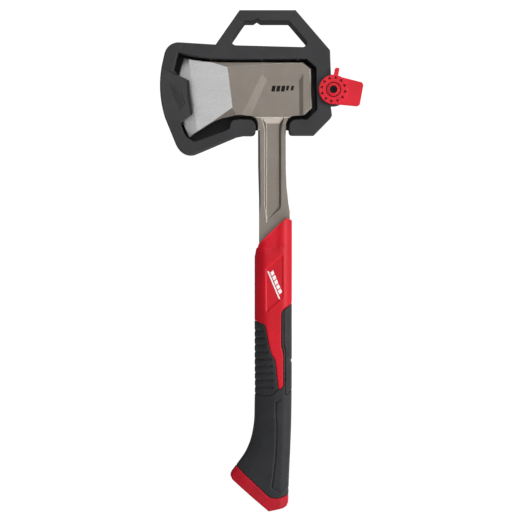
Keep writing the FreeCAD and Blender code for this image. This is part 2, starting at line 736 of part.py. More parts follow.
def forged_hatchet():
    """Head, I-section shank and tang, forged in one piece."""
    body = new_body("forging_blank")
    blank = new_sketch(body, "forging", FRONT_VIEW, "-dims.head_half", FORGING)
    pad(body, blank, "2 * dims.head_half")
    for level in (-size("head_half"), size("head_half")):
        front_edges(body, level, "rim_chamfer")
    steel = combine("Cut", "cheeked", body, cheek_planes())
    bevel = combine("Common", "bevel_in_outline", edge_bevel(), body)
    steel = combine("Fuse", "edged", steel, bevel)
    steel = combine("Cut", "thinned", steel, thinning())
    steel = combine("Cut", "edges_bevelled", steel, shank_edges())
    head = size("head_half")
    under = plane_cut("under_facet", (-37.3, -head, -78), (-33.1, -head, -84.6),
                      (-67.6, -2.75, -98.3), -95, -20, -113, -73)
    steel = combine("Cut", "under_faceted", steel, under)
    top = plane_cut("top_facet", (-52.8, -8.6, -37.3), (-41.2, -head, -41),
                    (-6.1, -head, -38.6), -62, -2, -48, -23)
    steel = combine("Cut", "top_faceted", steel, top)
    cheeks = recess("cheek_recess", CHEEK_RIM, CHEEK_FLOOR, "dims.head_half",
                    "dims.head_half - dims.cheek_sink")
    steel = combine("Cut", "recessed", steel, cheeks)
    fullers = recess("fuller", FULLER_RIM, FULLER_FLOOR, "dims.head_half", "dims.web_half")
    steel = combine("Cut", "fullered", steel, fullers)
    for number, (across, up) in enumerate(RIVETS, start=1):
        hole = rod(f"tang_hole_{number}", str(across), str(up), "-dims.tang_half",
                   "dims.rivet_radius", "2 * dims.tang_half")
        steel = combine("Cut", f"drilled_{number}", steel, hole)
    return sub_part(steel, "forged_hatchet")


# ---------------------------------------------------------------- grip outlines

# Cross-sections of the grip: height, left, right, half thickness.
GRIP = [
    (-169.9, -17.6, 16.2, 12.4), (-206.9, -17.6, 16.2, 12.8), (-301.9, -17.6, 16.2, 13.2),
    (-338.9, -17.6, 16.2, 12.8), (-355.9, -18.1, 15.5, 12.8), (-371.9, -20.9, 15, 13.1),
    (-385.9, -25.9, 14.4, 13.6), (-398.9, -35, 13.8, 14.2), (-441.9, -62, 12.4, 15),
]

# The rigid core under the soft pieces, in the same form.
INNER_CORE = [
    (-197.9, -14.4, 13, 9.6), (-338.9, -14.4, 13, 9.6), (-367.9, -16, 11.6, 9.6),
    (-385.9, -20, 11, 9.8), (-415.9, -24, 9.6, 9.8),
]

# The side view's two ends: the slanted collar at the top and the heel at the bottom.
GRIP_ENDS = [
    (-13.1, -198.7), (9.6, -176.5, 2), (14.2, -176.1, 2), (18, -179.9), (18, -427.9),
    (12.2, -434.3, 2.5), (-5, -438.1, 2.5), (-39.6, -409.1, 4), (-34.2, -397.5),
    (-60, -377.9), (-60, -215.9), (-17.6, -209.9), (-16.2, -203.9),
]

RED_PART = [
    (-60, -162), (60, -162), (60, -251.6), (15.9, -251.6), (8.8, -257.1), (6.2, -261, 2),
    (6.2, -291.2, 2), (8.3, -297.2, 2), (8.3, -325.9), (6.1, -329.5), (4.1, -328.4, 1),
    (2.1, -313), (0.8, -303.6, 2), (-3.1, -297.2, 2), (-5.1, -287.3), (-7.4, -272.9, 2),
    (-17.1, -267.4), (-60, -267.4),
]

PAD_SIDE = [
    (-60, -267.4), (-17.1, -267.4), (-7.4, -272.9, 2), (-5.1, -287.3), (-3.1, -297.2, 2),
    (0.8, -303.6, 2), (2.1, -313), (4.1, -328.4), (-1.6, -334.2), (-5.1, -336.1, 2),
    (-17.1, -333.8), (-60, -333.8),
]

STRAP_SIDE = [
    (60, -251.6), (15.9, -251.6), (8.8, -257.1), (6.2, -261, 2), (6.2, -291.2, 2),
    (8.3, -297.2, 2), (8.3, -325.9), (6.1, -329.5), (9.7, -334.6), (15.9, -329.3), (60, -329.3),
]

CAP_PART = [
    (-60, -380.4), (-34, -397.3), (-25.9, -405.2), (-12.6, -417.1), (-4.5, -425, 3), (0.9, -426.3, 3),
    (12.6, -423.5), (60, -423.5), (60, -460), (-60, -460),
]


# ---------------------------------------------------------------- grip

def grip_loft(name, sections):
    """An octagonal body through the sections, with long bevels on its four corners."""
    body = new_body(name)
    loft = body.newObject("PartDesign::AdditiveLoft", f"{name}_loft")
    profiles = []
    for up, left, right, half in sections:
        side, face = 0.27 * (right - left), 0.45 * half
        profiles.append(new_sketch(body, f"{name}_{-up:.0f}", TOP_VIEW, str(up), [
            (left + side, -half), (right - side, -half), (right, face - half),
            (right, half - face), (right - side, half), (left + side, half),
            (left, half - face), (left, face - half)]))
    loft.Profile = profiles[0]
    loft.Sections = profiles[1:]
    loft.Ruled = True
    return body


def slab(name, points):
    """A prism of a side-view outline, wider than the grip."""
    body = new_body(name)
    face = new_sketch(body, f"{name}_outline", FRONT_VIEW, "-20", points)
    pad(body, face, "40")
    return body


def half_space(name, front):
    box = doc.addObject("Part::Box", name)
    box.Length, box.Width, box.Height = 160, 40, 300
    box.Placement = FreeCAD.Placement(V(-80, -40 if front else 0, -450), FreeCAD.Rotation())
    return box


def tang_rivets():
    """Two rivets that clamp the halves of the core to the tang."""
    rivets = []
    reach = 8.4
    head = size("rivet_head_height")
    for across, up in RIVETS:
        whole = Part.makeCylinder(
            size("rivet_radius"), 2 * reach, V(across, -reach, up), V(0, 1, 0))
        for front in (-reach, reach - head):
            flange = Part.makeCylinder(
                size("rivet_head_radius"), head, V(across, front, up), V(0, 1, 0))
            whole = whole.fuse(flange)
        rivets.append(whole.removeSplitter())
    item = doc.addObject("Part::Feature", "tang_rivets")
    item.Shape = Part.Compound(rivets)
    return sub_part(item, "tang_rivets")


def butt_cap_screw():
    """One screw up through the cap into the core."""
    seat, across = -431.4, 4
    shank = Part.makeCylinder(
        size("cap_screw_radius"), size("cap_screw_length"), V(across, 0, seat), V(0, 0, 1))
    head = Part.makeCylinder(size("cap_screw_head_radius"), 2.2, V(across, 0, seat - 2.2))
    socket = hexagon(0, 0, 0, 1.5, 1.4)
    socket.Placement = FreeCAD.Placement(
        V(across, 0, seat - 2.2), FreeCAD.Rotation(V(1, 0, 0), 90))
    item = doc.addObject("Part::Feature", "butt_cap_screw")
    item.Shape = shank.fuse(head).cut(socket).removeSplitter()
    return sub_part(item, "butt_cap_screw")


def screw_well():
    """The way in for the cap screw, from its head to below the cap."""
    well = doc.addObject("Part::Cylinder", "cap_screw_well")
    well.Height = 12
    well.Placement = FreeCAD.Placement(V(4, 0, -443.6), FreeCAD.Rotation())
    bind(well, Radius="dims.cap_screw_head_radius")
    return combine("Fuse", "cap_screw_way", well, doc.getObject("butt_cap_screw"))


def grip_pieces(forging, rivets, screw):
    """The core in two halves, the soft pieces over it and the butt cap below."""
    ends = slab("grip_ends", GRIP_ENDS)
    whole = combine("Common", "grip_whole", grip_loft("grip_skin", GRIP), ends)
    inner = grip_loft("inner_core", INNER_CORE)
    red = combine("Common", "red_skin", whole, slab("red_slab", RED_PART))
    core = combine("Fuse", "core_solid", red, inner)
    core = combine("Cut", "core_round_tang", core, forging)
    core = combine("Cut", "core_with_rivets", core, rivets)
    core = combine("Cut", "core_with_screw", core, screw)
    for name, front in (("grip_core_front", True), ("grip_core_back", False)):
        half = combine("Common", f"{name}_half", core, half_space(f"{name}_side", front))
        sub_part(half, name)
    soft = combine("Cut", "soft_skin", whole, inner)
    pad_slab, strap_slab = slab("pad_slab", PAD_SIDE), slab("strap_slab", STRAP_SIDE)
    sub_part(combine("Common", "front_pad", soft, pad_slab), "front_grip_pad")
    sub_part(combine("Common", "rear_strap", soft, strap_slab), "rear_grip_strap")
    cap_slab = slab("cap_slab", CAP_PART)
    rest = soft
    for number, used in enumerate((doc.red_slab, pad_slab, strap_slab, cap_slab)):
        rest = combine("Cut", f"sleeve_{number}", rest, used)
    sub_part(combine("Cut", "sleeve", rest, screw), "lower_grip_sleeve")
    cap = combine("Common", "cap_solid", soft, cap_slab)
    sub_part(combine("Cut", "cap", cap, screw_well()), "butt_cap")


def check_and_write():
    """Stop on any failed object, then write one STEP file for each sub-part."""
    doc.recompute()
    for item in doc.Objects:
        if "Invalid" in item.State or "Error" in item.State:
            raise ValueError(f"{item.Name} failed: {item.State}")
    os.makedirs("parts", exist_ok=True)
    for item in SUB_PARTS:
        if item.Shape.isNull() or not item.Shape.isValid():
            raise ValueError(f"{item.Label} has no valid shape")
        item.Shape.exportStep(f"parts/{item.Label}.step")
        print(f"{item.Label}: {len(item.Shape.Solids)} solid, {item.Shape.Volume / 1000:.2f} cm3")


sheath_front_shell()
sheath_back_cover()
shell_screws()
blade_edge_guard()
latch_lever()
latch_bush()
latch_pivot_screw()
latch_wave_washer()
latch_insert()
grip_pieces(forged_hatchet(), tang_rivets(), butt_cap_screw())
check_and_write()
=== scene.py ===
import json
import math

import bmesh
import bpy
import numpy as np
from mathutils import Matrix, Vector


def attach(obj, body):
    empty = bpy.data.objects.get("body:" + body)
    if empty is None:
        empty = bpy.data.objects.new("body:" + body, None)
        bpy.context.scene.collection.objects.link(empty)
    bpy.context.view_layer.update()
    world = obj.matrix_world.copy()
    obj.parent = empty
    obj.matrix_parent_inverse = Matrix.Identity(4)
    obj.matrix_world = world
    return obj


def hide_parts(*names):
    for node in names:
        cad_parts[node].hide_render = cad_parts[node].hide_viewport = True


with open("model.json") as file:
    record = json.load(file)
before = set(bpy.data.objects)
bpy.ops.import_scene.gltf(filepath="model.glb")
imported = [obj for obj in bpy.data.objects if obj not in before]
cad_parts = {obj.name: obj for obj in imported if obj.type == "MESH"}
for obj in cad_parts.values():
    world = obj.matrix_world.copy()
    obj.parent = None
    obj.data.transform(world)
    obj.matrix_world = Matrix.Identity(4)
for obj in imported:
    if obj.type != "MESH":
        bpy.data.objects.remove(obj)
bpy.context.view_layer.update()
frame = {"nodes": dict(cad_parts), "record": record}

# A hatchet in its carry sheath, seen straight on. Lengths are in millimetres, and each
# piece is brought to metres where its mesh is made.

MM = 0.001

# ------------------------------------------------------------------ camera and light

EYE = (-12.6, -1500, -213.4)
VIEW_WIDTH = 468
SENSOR = 36

# Each lamp's place and aim, the side of its square in millimetres, and its power in watts.
MIDDLE = (0, 0, -200)
LAMPS = {
    "key_right": ((1450, -1050, -50), MIDDLE, 800, 21),
    "under_light": ((60, -440, -1900), MIDDLE, 800, 22),
    "top_front": ((200, -1500, 1000), MIDDLE, 700, 8),
    "front_fill": ((100, -2300, 200), MIDDLE, 1400, 7),
    "facet_light": ((-30, -420, 1500), (-30, 0, -40), 400, 4.5),
    "cheek_light": ((-980, -1430, 10), (-56, 0, -62), 450, 0.8),
    "top_fill": ((200, 300, 1700), MIDDLE, 1500, 14),
    "back_fill": ((1500, 1300, 900), MIDDLE, 1400, 26),
}
# Lamps for the steel alone, and the one object that doesn't shade each of them.
ACCENTS = {
    "under_light": "floor",
    "facet_light": "sheath_front_shell",
    "cheek_light": "sheath_front_shell",
}
BACKDROP_GLOW, SKY_GLOW = 1.05, 0.17


def add_camera():
    data = bpy.data.cameras.new("camera")
    data.sensor_width = SENSOR
    data.lens = SENSOR * abs(EYE[1]) / VIEW_WIDTH
    item = bpy.data.objects.new("camera", data)
    item.location = Vector(EYE) * MM
    item.rotation_euler = (math.radians(90), 0, 0)
    bpy.context.collection.objects.link(item)
    bpy.context.scene.camera = item


def area_light(name, place, aim, side, power):
    data = bpy.data.lights.new(name, "AREA")
    data.size = side * MM
    data.energy = power
    item = bpy.data.objects.new(name, data)
    item.location = Vector(place) * MM
    item.rotation_euler = (Vector(aim) - Vector(place)).to_track_quat("-Z", "Y").to_euler()
    item.visible_camera = False
    bpy.context.collection.objects.link(item)
    return item


def steel_only(light, unshaded):
    """Let a lamp reach the steel alone, past the object that would shade it."""
    lit = bpy.data.collections.new(f"{light.name}_lit")
    lit.objects.link(frame["nodes"]["forged_hatchet"])
    light.light_linking.receiver_collection = lit
    blockers = bpy.data.collections.new(f"{light.name}_blockers")
    blockers.objects.link(unshaded)
    blockers.collection_objects[0].light_linking.link_state = "EXCLUDE"
    light.light_linking.blocker_collection = blockers


def add_lights(floor):
    items = {"floor": floor, **frame["nodes"]}
    for name, (place, aim, side, power) in LAMPS.items():
        light = area_light(name, place, aim, side, power)
        if name in ACCENTS:
            steel_only(light, items[ACCENTS[name]])


def background(tree, strength):
    node = tree.nodes.new("ShaderNodeBackground")
    node.inputs["Color"].default_value = (1, 1, 1, 1)
    node.inputs["Strength"].default_value = strength
    return node.outputs[0]


def add_sky():
    """A white backdrop for the camera, and a fainter sky that lights the object."""
    world = bpy.data.worlds.new("studio")
    world.use_nodes = True
    tree = world.node_tree
    tree.nodes.remove(tree.nodes["Background"])
    path = tree.nodes.new("ShaderNodeLightPath")
    choose = tree.nodes.new("ShaderNodeMixShader")
    tree.links.new(path.outputs["Is Camera Ray"], choose.inputs[0])
    tree.links.new(background(tree, SKY_GLOW), choose.inputs[1])
    tree.links.new(background(tree, BACKDROP_GLOW), choose.inputs[2])
    tree.links.new(choose.outputs[0], tree.nodes["World Output"].inputs["Surface"])
    bpy.context.scene.world = world
    bpy.context.scene.view_settings.view_transform = "Standard"


# ------------------------------------------------------------------ materials

BEVEL_SAMPLES = 6
SHARP_EDGE, FLAT_FACE = 0.85, 0.995
FLOW_GRAIN = 22
# Paler plastic edges, part wear and part painted highlight: radius, share, gain and lift.
WEAR_AND_HIGHLIGHT_RADIUS, WEAR_AND_HIGHLIGHT_SHARE, WEAR_AND_HIGHLIGHT_GAIN, WEAR_AND_HIGHLIGHT_LIFT = 0.7, 0.45, 1.5, 0.012
# Painted shade on pit floors: how dark it is, and over how many millimetres it fades in.
PIT_SHADE_SHARE, PIT_SHADE_FADE = 0.5, 0.3
METAL_GRAIN, METAL_SHADE = 0.5, 0.72


class Finish:
    """A procedural material: the shader, the object's own coordinates and a few nodes."""

    def __init__(self, name, metal=0.0, **sockets):
        self.material = bpy.data.materials.new(name)
        self.material.use_nodes = True
        self.tree = self.material.node_tree
        self.shader = self.tree.nodes["Principled BSDF"]
        self.shader.inputs["Metallic"].default_value = metal
        for socket, value in sockets.items():
            self.shader.inputs[socket.replace("_", " ")].default_value = value
        self.own = self.add("ShaderNodeTexCoord")

    def add(self, kind, **settings):
        node = self.tree.nodes.new(kind)
        for key, value in settings.items():
            setattr(node, key, value)
        return node

    def feed(self, socket, value):
        if isinstance(value, bpy.types.NodeSocket):
            self.tree.links.new(value, socket)
        else:
            socket.default_value = value

    def math(self, operation, first, second=0.0, third=0.0):
        node = self.add("ShaderNodeMath", operation=operation)
        for socket, value in zip(node.inputs, (first, second, third)):
            self.feed(socket, value)
        return node.outputs[0]

    def axes(self, output="Object"):
        node = self.add("ShaderNodeSeparateXYZ")
        self.feed(node.inputs[0], self.own.outputs[output])
        return node.outputs

    def noise(self, grain, detail=2.0, stretch=(1, 1, 1)):
        """Noise whose features are about this many millimetres across."""
        place = self.add("ShaderNodeMapping")
        place.inputs["Scale"].default_value = stretch
        self.feed(place.inputs["Vector"], self.own.outputs["Object"])
        node = self.add("ShaderNodeTexNoise")
        node.inputs["Scale"].default_value = 1 / (grain * MM)
        node.inputs["Detail"].default_value = detail
        self.feed(node.inputs["Vector"], place.outputs[0])
        return node.outputs[0]

    def spread(self, value, low, high, to_low=0.0, to_high=1.0):
        node = self.add("ShaderNodeMapRange", interpolation_type="SMOOTHSTEP")
        for socket, number in zip(node.inputs, (value, low, high, to_low, to_high)):
            self.feed(socket, number)
        return node.outputs[0]

    def blend(self, share, first, second):
        node = self.add("ShaderNodeMix", data_type="RGBA")
        self.feed(node.inputs[0], share)
        self.feed(node.inputs[6], first)
        self.feed(node.inputs[7], second)
        return node.outputs[2]

    def colour(self, value):
        self.feed(self.shader.inputs["Base Color"], value)

    def rough(self, value):
        self.feed(self.shader.inputs["Roughness"], value)

    def relief(self, height, depth, edge=0.5):
        """Bump of this depth in millimetres, over edges rounded by this radius."""
        rounding = self.add("ShaderNodeBevel", samples=BEVEL_SAMPLES)
        rounding.inputs["Radius"].default_value = edge * MM
        bump = self.add("ShaderNodeBump")
        bump.inputs["Distance"].default_value = depth * MM
        self.feed(bump.inputs["Height"], height)
        self.feed(bump.inputs["Normal"], rounding.outputs[0])
        self.feed(self.shader.inputs["Normal"], bump.outputs[0])

    def edge_mask(self, radius):
        """1 near sharp edges, where paler colour goes: part wear and part painted highlight
        on the plastics, painted highlight on the steel's rims.
        """
        rounding = self.add("ShaderNodeBevel", samples=BEVEL_SAMPLES)
        rounding.inputs["Radius"].default_value = radius * MM
        face = self.add("ShaderNodeNewGeometry")
        same = self.add("ShaderNodeVectorMath", operation="DOT_PRODUCT")
        self.feed(same.inputs[0], rounding.outputs[0])
        self.feed(same.inputs[1], face.outputs["True Normal"])
        return self.spread(same.outputs["Value"], FLAT_FACE, SHARP_EDGE)


def grey(level):
    return (level, level, level, 1)


def shaded(colour, share):
    return tuple(part * share for part in colour[:3]) + (1,)


def moulded_plastic(name, dark, light, roughness, grain=0.35, depth=0.03, pit_level=None,
                    **sockets):
    """Spark-textured plastic: fine grain, faint flow marks, paler edges that are part wear
    and part painted highlight, and painted shade on the floors of pits that lie behind the
    given level."""
    finish = Finish(name, **sockets)
    flow = finish.spread(finish.noise(FLOW_GRAIN, 3), 0.3, 0.7)
    base = finish.blend(flow, dark, light)
    # Paler edges: part wear, part a painted highlight where the edges would catch the light.
    worn_and_highlit = tuple(min(1, part * WEAR_AND_HIGHLIGHT_GAIN + WEAR_AND_HIGHLIGHT_LIFT) for part in light[:3]) + (1,)
    edges = finish.math("MULTIPLY", finish.edge_mask(WEAR_AND_HIGHLIGHT_RADIUS), WEAR_AND_HIGHLIGHT_SHARE)
    base = finish.blend(edges, base, worn_and_highlit)
    if pit_level is not None:
        # Painted shade: front-facing pit floors behind the pit level are darkened, as if
        # shade lay in them.
        level = finish.spread(finish.axes()[1], pit_level * MM, (pit_level + PIT_SHADE_FADE) * MM)
        facing = finish.spread(finish.axes("Normal")[1], -0.7, -0.9)
        pit_shade = shaded(dark, PIT_SHADE_SHARE)
        base = finish.blend(finish.math("MULTIPLY", level, facing), base, pit_shade)
    finish.colour(base)
    texture = finish.noise(grain, 2)
    finish.rough(finish.spread(texture, 0.25, 0.75, roughness - 0.06, roughness + 0.08))
    finish.relief(texture, depth)
    return finish.material


def soft_rubber(name, dark, light):
    """Matt overmould: a very fine tooth, slight bloom where it is handled."""
    finish = Finish(name, Specular_IOR_Level=0.35, Sheen_Weight=0.06)
    bloom = finish.spread(finish.noise(16, 4), 0.3, 0.75)
    finish.colour(finish.blend(bloom, dark, light))
    tooth = finish.noise(0.3, 2)
    finish.rough(finish.spread(tooth, 0.2, 0.8, 0.55, 0.72))
    finish.relief(tooth, 0.025, 0.35)
    return finish.material


def machined_metal(name, base, roughness):
    """Bare metal with fine, even tool marks."""
    finish = Finish(name, metal=1.0)
    marks = finish.noise(METAL_GRAIN, 4)
    shade = shaded(base, METAL_SHADE)
    finish.colour(finish.blend(finish.spread(marks, 0.3, 0.7), shade, base))
    finish.rough(finish.spread(marks, 0.2, 0.8, roughness, roughness + 0.18))
    finish.relief(marks, 0.01, 0.2)
    return finish.material


# The right-hand borders of the ground edge and of the ground cheek, as (x, z) points.
BEVEL_TOP, BEVEL_FOOT = (-76.5, -33), (-68.9, -100)
CHEEK_TOP, CHEEK_FOOT = (-41.7, -40.6), (-37.3, -77.3)
BLAST_DARK, BLAST_LIGHT = (0.222, 0.195, 0.168, 1), (0.275, 0.245, 0.213, 1)
# Painted highlight on the head's sharp edges: near-white colour, edge radius and share.
RIM_HIGHLIGHT_COLOUR, RIM_HIGHLIGHT_RADIUS, RIM_HIGHLIGHT_SHARE = (0.8, 0.77, 0.72, 1), 0.9, 0.8
POLISHED_DARK, POLISHED_LIGHT = 0.66, 0.82
HONED_DARK, HONED_LIGHT = 0.54, 0.66


def left_of(finish, x, z, first, second, soft):
    """1 to the left of a line through two (x, z) points, 0 to its right."""
    lean = (second[0] - first[0]) / (second[1] - first[1])
    start = (first[0] - lean * first[1]) * MM
    line = finish.math("MULTIPLY_ADD", z, lean, start)
    gap = finish.math("SUBTRACT", line, x)
    return finish.spread(gap, -soft * MM, soft * MM)


def ground_areas(finish):
    """Masks of all the ground steel, and of the edge's own bevel."""
    x, _, z = finish.axes()
    _, facing, tilt = finish.axes("Normal")
    flat = finish.spread(finish.math("ABSOLUTE", facing), 0.76, 0.82)
    level = finish.spread(finish.math("ABSOLUTE", tilt), 0.1, 0.07)
    cheek = left_of(finish, x, z, CHEEK_TOP, CHEEK_FOOT, 0.3)
    ground = finish.math("MULTIPLY", cheek, finish.math("MULTIPLY", flat, level))
    bevel = left_of(finish, x, z, BEVEL_TOP, BEVEL_FOOT, 0.4)
    return finish.math("MAXIMUM", ground, bevel), bevel


def ground_colour(finish, lines, bevel):
    """Polished cheek with broad streaks, and a duller honed bevel."""
    sweep = finish.noise(9, 2, (0.25, 1, 1))
    streaks = finish.math("MULTIPLY_ADD", sweep, 0.3, finish.math("MULTIPLY", lines, 0.7))
    polished = finish.blend(
        finish.spread(streaks, 0.32, 0.68), grey(POLISHED_DARK), grey(POLISHED_LIGHT))
    honed = finish.blend(finish.spread(lines, 0.3, 0.7), grey(HONED_DARK), grey(HONED_LIGHT))
    return finish.blend(bevel, polished, honed)


def blasted_colour(finish, pits):
    """Mottled grey-brown, with a painted highlight on the rims."""
    cloud = finish.noise(14, 3)
    mottle = finish.math("MULTIPLY_ADD", cloud, 0.25, finish.math("MULTIPLY", pits, 0.75))
    blasted = finish.blend(finish.spread(mottle, 0.3, 0.7), BLAST_DARK, BLAST_LIGHT)
    # Painted highlight: near-white colour laid along the sharp edges.
    rim_highlight = finish.math("MULTIPLY", finish.edge_mask(RIM_HIGHLIGHT_RADIUS), RIM_HIGHLIGHT_SHARE)
    return finish.blend(rim_highlight, blasted, RIM_HIGHLIGHT_COLOUR)


def forged_steel():
    """Bead-blasted forging whose cheeks and edge are ground with lines along the head."""
    finish = Finish("forged_steel_finish", metal=1.0)
    ground, bevel = ground_areas(finish)
    blasted = finish.math("SUBTRACT", 1.0, ground)
    lines = finish.noise(0.55, 4, (0.035, 1, 1))
    pits = finish.noise(0.45, 3)
    finish.colour(finish.blend(
        ground, blasted_colour(finish, pits), ground_colour(finish, lines, bevel)))
    rough_blast = finish.spread(pits, 0.2, 0.8, 0.5, 0.62)
    rough_ground = finish.spread(lines, 0.2, 0.8, 0.27, 0.38)
    finish.rough(finish.math("ADD", finish.math("MULTIPLY", rough_blast, blasted),
                             finish.math("MULTIPLY", rough_ground, ground)))
    height = finish.math("ADD", finish.math("MULTIPLY", pits, blasted),
                         finish.math("MULTIPLY", lines, ground))
    finish.relief(height, 0.035, 0.9)
    return finish.material


def make_finishes():
    return {
        "frame_nylon": moulded_plastic(
            "frame_nylon_finish", (0.018, 0.018, 0.020, 1), (0.024, 0.024, 0.026, 1), 0.52,
            Specular_IOR_Level=0.4),
        "guard_nylon": moulded_plastic(
            "guard_nylon_finish", grey(0.02), grey(0.03), 0.45, depth=0.01),
        # The latch's pits get painted shade on their floors.
        "latch_red": moulded_plastic(
            "latch_red_finish", (0.58, 0.004, 0.016, 1), (0.66, 0.007, 0.024, 1), 0.4,
            grain=0.6, depth=0.008, pit_level=-18, Specular_IOR_Level=0.3),
        "core_red": moulded_plastic(
            "core_red_finish", (0.53, 0.003, 0.013, 1), (0.60, 0.004, 0.018, 1), 0.46,
            grain=0.5, depth=0.012, Specular_IOR_Level=0.25),
        "cap_red": moulded_plastic(
            "cap_red_finish", (0.38, 0.003, 0.012, 1), (0.46, 0.004, 0.018, 1), 0.48,
            grain=0.45, depth=0.02, Specular_IOR_Level=0.25),
        "soft_grip": soft_rubber(
            "soft_grip_finish", (0.014, 0.0145, 0.017, 1), (0.021, 0.0215, 0.024, 1)),
        "forged_steel": forged_steel(),
        "white_print": moulded_plastic(
            "white_print_finish", grey(0.82), grey(0.88), 0.5, grain=0.3, depth=0.005),
        "etched_mark": moulded_plastic(
            "etched_mark_finish", (0.010, 0.008, 0.007, 1), (0.018, 0.015, 0.013, 1), 0.6,
            Specular_IOR_Level=0.1),
        "black_steel": machined_metal("black_steel_finish", grey(0.018), 0.35),
        "zinc_screws": machined_metal("zinc_screws_finish", (0.6, 0.61, 0.63, 1), 0.3),
        "spring_steel": machined_metal("spring_steel_finish", grey(0.5), 0.28),
        "bush_steel": machined_metal("bush_steel_finish", grey(0.42), 0.3),
        "rivet_steel": machined_metal("rivet_steel_finish", grey(0.5), 0.4),
        "brass_insert": machined_metal("brass_insert_finish", (0.62, 0.45, 0.16, 1), 0.32),
    }


# ------------------------------------------------------------------ mesh helpers

PRISM_REACH = 22
VOXEL, EASE_ROUNDS = 0.6, 3
FAR = 1e9


def new_piece(name, points, faces):
    """A mesh object from millimetre points."""
    mesh = bpy.data.meshes.new(name)
    mesh.from_pydata([Vector(point) * MM for point in points], [], faces)
    item = bpy.data.objects.new(name, mesh)
    bpy.context.collection.objects.link(item)
    work = bmesh.new()
    work.from_mesh(mesh)
    bmesh.ops.recalc_face_normals(work, faces=work.faces)
    work.to_mesh(mesh)
    work.free()
    return item


def prism(name, outline):
    """A closed side-view outline of (x, z) points, extruded from front to back."""
    count = len(outline)
    points = [(x, y, z) for y in (-PRISM_REACH, PRISM_REACH) for x, z in outline]
    faces = [list(range(count)), list(range(2 * count - 1, count - 1, -1))]
    for index in range(count):
        after = (index + 1) % count
        faces.append([index, index + count, after + count, after])
    return new_piece(name, points, faces)


def applied(item):
    """Replace the item's mesh with the result of its modifiers."""
    bpy.context.view_layer.update()
    graph = bpy.context.evaluated_depsgraph_get()
    result = bpy.data.meshes.new_from_object(item.evaluated_get(graph))
    item.modifiers.clear()
    item.data = result
    return item


def combined(name, operation, base, *tools):
    """A copy of the base, cut by, joined to or kept within each tool."""
    item = bpy.data.objects.new(name, base.data.copy())
    bpy.context.collection.objects.link(item)
    for tool in tools:
        step = item.modifiers.new(operation, "BOOLEAN")
        step.operation = operation
        step.solver = "EXACT"
        step.object = tool
    return applied(item)


def drop(*items):
    for item in items:
        bpy.data.objects.remove(item)


def remould(item):
    """Even small faces all over, with every edge a little rounded."""
    grid = item.modifiers.new("grid", "REMESH")
    grid.mode = "VOXEL"
    grid.voxel_size = VOXEL * MM
    ease = item.modifiers.new("ease", "SMOOTH")
    ease.factor = 0.5
    ease.iterations = EASE_ROUNDS
    applied(item)
    for face in item.data.polygons:
        face.use_smooth = True


def step(value):
    """0 below 0, 1 above 1, smooth between."""
    value = np.clip(value, 0, 1)
    return value * value * (3 - 2 * value)


def distance_to(path, place):
    """How far each (x, z) place is from a path of straight runs."""
    nearest = np.full(len(place), FAR)
    for first, second in zip(path, path[1:]):
        first, run = np.array(first), np.array(second) - np.array(first)
        along = np.clip((place - first) @ run / (run @ run), 0, 1)
        gap = np.linalg.norm(place - first - along[:, None] * run, axis=1)
        nearest = np.minimum(nearest, gap)
    return nearest


def inside(outline, place):
    """How far each (x, z) place is inside a convex outline that runs clockwise."""
    depth = np.full(len(place), FAR)
    for first, second in zip(outline, outline[1:] + outline[:1]):
        run = np.array(second) - np.array(first)
        inward = np.array((run[1], -run[0])) / np.linalg.norm(run)
        depth = np.minimum(depth, (place - np.array(first)) @ inward)
    return depth


def crease(path, width, depth):
    """A groove of round section along a side-view path."""
    def sink(spots, _):
        gap = distance_to(path, spots[:, (0, 2)])
        return depth * np.exp(-(gap / (0.5 * width)) ** 2)
    return sink


def panel(outline, depth, edge):
    """A flat recess with a narrow wall."""
    def sink(spots, _):
        return depth * step(inside(outline, spots[:, (0, 2)]) / edge)
    return sink


def dent(item, *sinks):
    """Move every vertex inwards along its normal by the sum of the sinks."""
    mesh = item.data
    spots = np.empty(len(mesh.vertices) * 3)
    ways = np.empty(len(mesh.vertices) * 3)
    mesh.vertices.foreach_get("co", spots)
    mesh.vertex_normals.foreach_get("vector", ways)
    spots, ways = spots.reshape(-1, 3) / MM, ways.reshape(-1, 3)
    depth = sum(sink(spots, ways) for sink in sinks)
    spots = spots - ways * depth[:, None]
    mesh.vertices.foreach_set("co", (spots * MM).ravel())
    mesh.update()


# ------------------------------------------------------------------ grip

# Height, left skin, left ridge, right ridge, right skin, half thickness.
GRIP_ROWS = [
    (-166, -17.5, -9.0, 8.8, 16.1, 12.0), (-215, -17.5, -8.6, 9.0, 16.1, 12.7),
    (-262, -17.5, -8.0, 9.2, 16.0, 12.9), (-300, -17.5, -4.5, 9.4, 16.0, 13.0),
    (-340, -17.5, 0.6, 9.6, 15.8, 12.7), (-362, -18.5, 2.1, 9.2, 15.4, 12.8),
    (-376, -21.6, 1.9, 8.9, 14.9, 13.1), (-386, -26.0, 1.5, 8.5, 14.5, 13.5),
    (-398, -34.5, 0.3, 8.0, 13.9, 14.0), (-410, -43.5, -1.4, 7.6, 13.4, 14.4),
    (-442, -66.0, -5.0, 7.0, 12.5, 14.8),
]
ROW_SPACING = 3
SIDE_LEFT, SIDE_RIGHT = 0.36, 0.55
HIP_ALONG, HIP_OUT = 0.42, 0.74
CORNER_SIDE, CORNER_RIDGE = 4.5, 3.2
CORNER_SHARE, CORNER_SAMPLES = 0.45, 6
RIDGE_ROOM = 2
SKIN_TOP, SKIN_FOOT = -168, -441
INNER_TOP, INNER_FOOT = -214, -419
INNER_INSET, INNER_GAP = 3.4, 5


